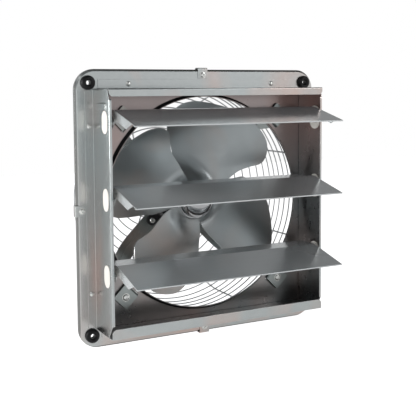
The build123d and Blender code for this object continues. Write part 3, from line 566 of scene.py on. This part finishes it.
blades = [wheelBlade(wheel["start"] + 360 / wheel["blades"] * number) for number in range(wheel["blades"])]
pressed = joined(blades, "pressed_wheel")
editAll(pressed)
bpy.ops.mesh.remove_doubles(threshold=0.00002)  # closes the seams between the blades
bpy.ops.mesh.normals_make_consistent(inside=False)
bpy.ops.object.mode_set(mode="OBJECT")
bpy.ops.object.modifier_add(type="SOLIDIFY")
wall = pressed.modifiers[-1]
wall.thickness = wheel["sheet"]
wall.offset = -1 if sum(face.normal.y for face in pressed.data.polygons) < 0 else 1  # grows towards the back
bpy.ops.object.modifier_apply(modifier=wall.name)
handIn(settle(pressed, 40), "impeller", finishes["wheel_sheet"])
print("fan wheel made")


# Fasteners: places that repeat are (x, z), at the corners of a square or at angles round the fan's axis

def corners(place):
    return [(x, z) for x in (-place, place) for z in (-place, place)]


def ringPlaces(radius, angles):
    return [(radius * cos(radians(angle)), radius * sin(radians(angle))) for angle in angles]


crossAngles = (0, 90, 180, 270)
diagonalAngles = (45, 135, 225, 315)


def domedRivet(name, kind, seat, back):
    # a domed head on its seat, the shank and a flattened tail at the back
    radius, head, shank = kind["headRadius"], kind["head"], kind["shank"]
    outline = [
        (radius * 0.45, seat - head),
        (radius * 0.8, seat - head * 0.72),
        (radius, seat - head * 0.25),
        (radius, seat),
        (shank, seat),
        (shank, back - kind["tail"]),
        (radius * 0.8, back - kind["tail"]),
        (radius * 0.7, back),
    ]
    return turnedPiece(name, outline, 20)


# two rivets on each side of the box, both at across from its middle
rivets = {
    "across": 0.114, "side": 0.171, "end": 0.1701, "seat": -0.001,
    "headRadius": 0.0036, "head": 0.0018, "shank": 0.0016, "tail": 0.0012,
}
across = (-rivets["across"], rivets["across"])
rivetPlaces = [(x, z) for x in across for z in (-rivets["end"], rivets["end"])]
rivetPlaces += [(x, z) for x in (-rivets["side"], rivets["side"]) for z in across]
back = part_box("frame_rivets")[1].y
pattern = domedRivet("rivet", rivets, rivets["seat"], back)
copies(pattern, rivetPlaces, "frame_rivets", finishes["zinc_fasteners"])

hubRivets = {"ring": 0.019, "headRadius": 0.003, "head": 0.0012, "shank": 0.0018, "tail": 0.0001}
low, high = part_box("hub_rivets")
pattern = domedRivet("hub_rivet", hubRivets, low.y + hubRivets["head"], high.y)
copies(pattern, ringPlaces(hubRivets["ring"], crossAngles), "hub_rivets", finishes["zinc_fasteners"])


# the cross recess in a screw's head, in degrees and in shares of the head's radius and height
recess = {"turn": 20, "length": 1.05, "depth": 0.95, "width": 0.24}


def crossScrew(name, kind, front, back):
    # pan head with a cross recess, on a washer or plain
    radius, head, shank, washer = kind["headRadius"], kind["head"], kind["shank"], kind["washer"]
    seat = front + head
    outline = [
        (radius * 0.6, front),
        (radius * 0.86, front + head * 0.16),
        (radius, front + head * 0.5),
        (radius, seat),
        (shank, seat),
        (shank, back - shank * 0.3),
        (shank * 0.7, back),
    ]
    if washer:
        outline[3:4] = [
            (radius * 0.98, seat - washer),
            (radius * 1.25, seat - washer),
            (radius * 1.25, seat),
        ]
    screw = turnedPiece(name, outline, 28)
    for turn in (0, pi / 2):
        bpy.ops.object.select_all(action="DESELECT")
        bpy.ops.mesh.primitive_cube_add(
            size=1, location=(0, front, 0), rotation=(0, turn + radians(recess["turn"]), 0)
        )
        cutter = bpy.context.object
        cutter.scale = (radius * recess["length"], head * recess["depth"], radius * recess["width"])
        bpy.ops.object.transform_apply(location=True, rotation=True, scale=True)
        take(screw)
        bpy.ops.object.modifier_add(type="BOOLEAN")
        cut = screw.modifiers[-1]
        cut.operation = "DIFFERENCE"
        cut.solver = "EXACT"
        cut.object = cutter
        bpy.ops.object.modifier_apply(modifier=cut.name)
        bpy.data.objects.remove(cutter)
    return settle(screw, 30)


screws = {
    "clip_screws": {
        "ring": 0.1825, "angles": crossAngles,
        "headRadius": 0.004, "head": 0.0022, "shank": 0.002, "washer": 0.0005,
    },
    "arm_foot_screws": {
        "ring": 0.175, "angles": diagonalAngles,
        "headRadius": 0.0046, "head": 0.003, "shank": 0.0025, "washer": 0.0006,
    },
    "arm_motor_screws": {
        "ring": 0.0527, "angles": diagonalAngles,
        "headRadius": 0.0044, "head": 0.0028, "shank": 0.0022, "washer": 0,
    },
    "motor_bolts": {
        "ring": 0.033, "angles": crossAngles,
        "headRadius": 0.0032, "head": 0.0025, "shank": 0.0018, "washer": 0,
    },
}
for node, kind in screws.items():
    low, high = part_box(node)
    pattern = crossScrew(node[:-1], kind, low.y, high.y)
    copies(pattern, ringPlaces(kind["ring"], kind["angles"]), node, finishes["zinc_fasteners"])
print("screws and rivets made")

# Corner grommets: a fat rounded front ring, a neck in the panel's hole and a thinner back ring
grommet = {
    "place": 0.1718, "radius": 0.00975, "bore": 0.00325, "neck": 0.007, "sheet": 0.001, "backRadius": 0.0088,
}
low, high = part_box("rubber_grommets")
pattern = turnedPiece(
    "corner_grommet",
    [
        (grommet["bore"], low.y + 0.0022),
        (grommet["bore"] * 1.45, low.y + 0.0004),
        (grommet["radius"] * 0.62, low.y),
        (grommet["radius"] * 0.84, low.y + 0.0005),
        (grommet["radius"] * 0.96, low.y + 0.0018),
        (grommet["radius"], low.y + 0.0034),
        (grommet["radius"], -0.0005),
        (grommet["radius"] * 0.94, 0),
        (grommet["neck"], 0),
        (grommet["neck"], grommet["sheet"]),
        (grommet["backRadius"], grommet["sheet"]),
        (grommet["backRadius"], high.y - 0.0008),
        (grommet["backRadius"] * 0.88, high.y),
        (grommet["bore"], high.y),
        (grommet["bore"], low.y + 0.0022),
    ],
    40,
)
copies(pattern, corners(grommet["place"]), "rubber_grommets", finishes["black_rubber"])

# Cable gland: a tapered, rounded snout on a hex nut, off the middle of the motor's rear cover
gland = {
    "ring": 0.026, "angle": 225, "bore": 0.0035, "radius": 0.0065,
    "nutFlat": 0.0075, "nutDepth": 0.004, "nutPlace": 0.172, "nutEdge": 0.0005,
}
low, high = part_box("cable_gland")
glandPlace = ringPlaces(gland["ring"], (gland["angle"],))[0]
snout = turnedPiece(
    "gland_snout",
    [
        (gland["bore"], high.y - 0.0015),
        (0.0042, high.y),
        (0.0054, high.y - 0.0003),
        (0.0062, high.y - 0.0022),
        (gland["radius"], high.y - 0.005),
        (gland["radius"], low.y),
        (gland["bore"], low.y),
        (gland["bore"], high.y - 0.0015),
    ],
    36,
    glandPlace,
)
bpy.ops.object.select_all(action="DESELECT")
bpy.ops.mesh.primitive_cylinder_add(
    vertices=6, radius=gland["nutFlat"] / cos(pi / 6), depth=gland["nutDepth"],
    location=(glandPlace[0], gland["nutPlace"], glandPlace[1]), rotation=(pi / 2, 0, 0),
)
glandNut = rounded(settle(bpy.context.object), gland["nutEdge"])
handIn(joined([snout, glandNut], "gland_snout"), "cable_gland", finishes["black_plastic"])

# Spinner cap: a polished dome that stands on a narrow rim
cap = {"radius": 0.027, "wall": 0.0015, "rim": 0.0016, "step": 0.0008, "fullness": 2.5, "steps": 26}
low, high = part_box("spinner_cap")
domeRadius = cap["radius"] - cap["step"]
domeBack = high.y - cap["rim"]
capLine = [(cap["radius"] - cap["wall"], high.y), (cap["radius"], high.y), (cap["radius"], domeBack)]
for step in range(cap["steps"]):
    turn = pi / 2 * step / cap["steps"]
    capLine.append(
        (
            domeRadius * cos(turn) ** (2 / cap["fullness"]),
            domeBack - (domeBack - low.y) * sin(turn) ** (2 / cap["fullness"]),
        )
    )
dome = turnedPiece("spinner_dome", capLine, 96, tip=True)
handIn(dome, "spinner_cap", finishes["polished_metal"])
print("grommets, gland and cap made")

# Wire guard: round wire rings down a straight side and over a dome, on eight ribs, with four tabs.
# The dome starts at dome and is depth deep, and hub is the radius that the rings stop at.
guard = {
    "radius": 0.165, "front": 0.012, "dome": 0.075, "depth": 0.118, "pitch": 0.014, "hub": 0.022,
    "wire": 0.0019, "ribWire": 0.0026, "rimWire": 0.005, "weld": 0.0008,
    "ribs": 8, "ribSteps": 25, "ribEnd": 0.0275,
    "tab": 0.0015, "tabWidth": 0.015, "tabReach": 0.18625, "tabFront": 0.0085, "tabEdge": 0.0004,
}


def guardRings():
    # places along the profile, one pitch apart, as (radius, y), found in small steps over the dome
    rings = []
    run = guard["front"]
    while run + guard["pitch"] < guard["dome"]:
        run += guard["pitch"]
        rings.append((guard["radius"], run))
    gone = guard["dome"] - run
    last = (guard["radius"], guard["dome"])
    steps = 2000
    for step in range(1, steps):
        turn = pi / 2 * step / steps
        here = (guard["radius"] * cos(turn), guard["dome"] + guard["depth"] * sin(turn))
        gone += hypot(here[0] - last[0], here[1] - last[1])
        last = here
        if here[0] < guard["hub"]:
            break
        if gone >= guard["pitch"]:
            gone -= guard["pitch"]
            rings.append(here)
    rings.append(last)
    return rings


def wireRing(radius, y, wire):
    bpy.ops.object.select_all(action="DESELECT")
    bpy.ops.mesh.primitive_torus_add(
        major_segments=96, minor_segments=8, major_radius=radius, minor_radius=wire / 2,
        location=(0, y, 0), rotation=(pi / 2, 0, 0),
    )
    return settle(bpy.context.object, 80)


def ribWire(angle):
    # one rib follows the profile outside the rings, from the rim to the middle ring
    lift = guard["wire"] / 2 - guard["weld"] + guard["ribWire"] / 2
    side = guard["radius"] + lift
    line = [(side, guard["front"]), (side, (guard["front"] + guard["dome"]) / 2)]
    for step in range(guard["ribSteps"]):
        turn = pi / 2 * step / guard["ribSteps"]
        radius = side * cos(turn)
        line.append((radius, guard["dome"] + (guard["depth"] + lift) * sin(turn)))
        if radius < guard["ribEnd"]:
            break
    turn = radians(angle)
    path = bpy.data.curves.new("guard_rib", "CURVE")
    path.dimensions = "3D"
    path.bevel_depth = guard["ribWire"] / 2
    path.bevel_resolution = 2
    path.use_fill_caps = True
    spline = path.splines.new("POLY")
    spline.points.add(len(line) - 1)
    for point, (radius, y) in zip(spline.points, line):
        point.co = (radius * cos(turn), y, radius * sin(turn), 1)
    rib = bpy.data.objects.new("guard_rib", path)
    bpy.context.collection.objects.link(rib)
    take(rib)
    bpy.ops.object.convert(target="MESH")
    return settle(bpy.context.object, 60)


def guardTab(angle):
    # a flat tab from the rim out to its screw
    across = (guard["radius"] + guard["tabReach"]) / 2
    bpy.ops.object.select_all(action="DESELECT")
    bpy.ops.mesh.primitive_cube_add(size=1, location=(across, guard["tabFront"] + guard["tab"] / 2, 0))
    tab = bpy.context.object
    tab.scale = (guard["tabReach"] - guard["radius"], guard["tab"], guard["tabWidth"])
    bpy.ops.object.transform_apply(location=True, rotation=True, scale=True)
    tab = rounded(tab, guard["tabEdge"])
    tab.rotation_euler = (0, radians(-angle), 0)
    return settle(tab, 40)


wires = [wireRing(radius, y, guard["wire"]) for radius, y in guardRings()]
wires.append(wireRing(guard["radius"], guard["front"], guard["rimWire"]))
wires += [ribWire(180 / guard["ribs"] + 360 / guard["ribs"] * rib) for rib in range(guard["ribs"])]
wires += [guardTab(angle) for angle in crossAngles]
handIn(joined(wires, "guard_wirework"), "wire_guard", finishes["guard_wire"])
print("wire guard made,", len(wires), "wires and tabs")

# Camera at the photograph's place and angle
view = {
    "place": (-0.53576, -1.03954, 0.16207), "azimuth": -27.64, "elevation": 4.82, "roll": -0.37,
    "lens": 70.68, "sensor": 36, "shiftX": -0.0008, "shiftY": -0.12, "farClip": 50,
}
azimuth, elevation, roll = (radians(view[key]) for key in ("azimuth", "elevation", "roll"))
ahead = Vector((-sin(azimuth) * cos(elevation), cos(azimuth) * cos(elevation), -sin(elevation)))
right = Vector((cos(azimuth), sin(azimuth), 0))
up = right.cross(ahead)
right, up = cos(roll) * right + sin(roll) * up, cos(roll) * up - sin(roll) * right
camera = bpy.data.objects.new("camera", bpy.data.cameras.new("camera"))
bpy.context.collection.objects.link(camera)
camera.matrix_world = Matrix.Translation(view["place"]) @ Matrix((right, up, -ahead)).transposed().to_4x4()
camera.data.lens = view["lens"]
camera.data.sensor_width = view["sensor"]
camera.data.shift_x = view["shiftX"]
camera.data.shift_y = view["shiftY"]
camera.data.clip_end = view["farClip"]
bpy.context.scene.camera = camera

# Pale floor: it glows a little, less so in a reflection than to the eye
floorLook = {"size": 4.6, "gap": 0.0005, "shade": 0.86, "rough": 0.8, "glow": 0.95, "mirroredGlow": 0.45}
bpy.ops.object.select_all(action="DESELECT")
bpy.ops.mesh.primitive_plane_add(size=floorLook["size"], location=(0, 0, cadBox[0][2] - floorLook["gap"]))
floor = bpy.context.object
floor.name = "floor"
material, start, place = newFinish("floor")
grain = noise(place, 3.0, 2.0)
floorColour = mixed(grain, colour([floorLook["shade"]] * 3), colour([floorLook["shade"]] * 3, 0.97))
glows = [
    start.node(
        "ShaderNodeBsdfPrincipled",
        {},
        {
            "Base Color": floorColour, "Roughness": floorLook["rough"],
            "Emission Color": colour((1, 1, 1)), "Emission Strength": glow,
        },
    )
    for glow in (floorLook["mirroredGlow"], floorLook["glow"])
]
seen = start.node("ShaderNodeLightPath")
both = start.node("ShaderNodeMixShader", {}, {0: seen, 1: glows[0], 2: glows[1]})
start.node("ShaderNodeOutputMaterial", {}, {"Surface": both})
floor.data.materials.append(material)

# Studio room: white to the eye, and as a light bright along the horizon and dimmer overhead.
# The room behind the camera is dark, and the far left corner is dim, by these shares.
studio = {
    # brightness by height, from straight down at 0, over the horizon at 0.5, to straight up at 1
    "heights": [(0.0, 1.0), (0.5, 1.0), (0.58, 0.9), (0.7, 0.3), (0.86, 0.13), (1.0, 0.2)],
    "darkShare": 0.65, "dimShare": 0.62, "darkShade": (0.03, 0.035, 0.045),
}
world = bpy.data.worlds.new("studio")
bpy.context.scene.world = world
world.use_nodes = True
world.node_tree.nodes.clear()
sky = Wire(world.node_tree)
direction = sky.node("ShaderNodeTexCoord", output=0)
height, forward, sideways = (axisOf(direction, axis) for axis in "ZYX")
shade = sky.node("ShaderNodeValToRGB", {"stops": studio["heights"]}, {0: height * 0.5 + 0.5})
dark = (0 - forward).clamped(0.15, 0.6) * height.clamped(-0.02, 0.2) * studio["darkShare"]
dim = forward.clamped(0.1, 0.5) * (0 - sideways).clamped(0.1, 0.4) * studio["dimShare"]
for mask in (dark, dim):
    shade = mixed(mask, shade, colour(studio["darkShade"]))
lit = sky.node("ShaderNodeBackground", {}, {"Color": shade, "Strength": 1.0})
plain = sky.node("ShaderNodeBackground", {}, {"Color": colour((1, 1, 1)), "Strength": 1.0})
seen = sky.node("ShaderNodeLightPath")
both = sky.node("ShaderNodeMixShader", {}, {0: seen, 1: lit, 2: plain})
sky.node("ShaderNodeOutputWorld", {}, {"Surface": both})

lamps = {
    "key": {"place": (-1.3, -1.1, 1.5), "size": 1.2, "power": 5},
    "side": {"place": (-1.5, 0.45, 0.3), "size": 0.7, "power": 13},
    "fill": {"place": (1.2, -1.6, 0.9), "size": 0.8, "power": 6},
}
for name, lamp in lamps.items():
    light = bpy.data.objects.new(name, bpy.data.lights.new(name, "AREA"))
    light.data.size = lamp["size"]
    light.data.energy = lamp["power"]
    bpy.context.collection.objects.link(light)
    towardsFan = Vector(lamp["place"]).to_track_quat("Z", "Y").to_matrix().to_4x4()
    light.matrix_world = Matrix.Translation(lamp["place"]) @ towardsFan
bpy.context.scene.view_settings.view_transform = "Standard"
print("camera, floor and light set")
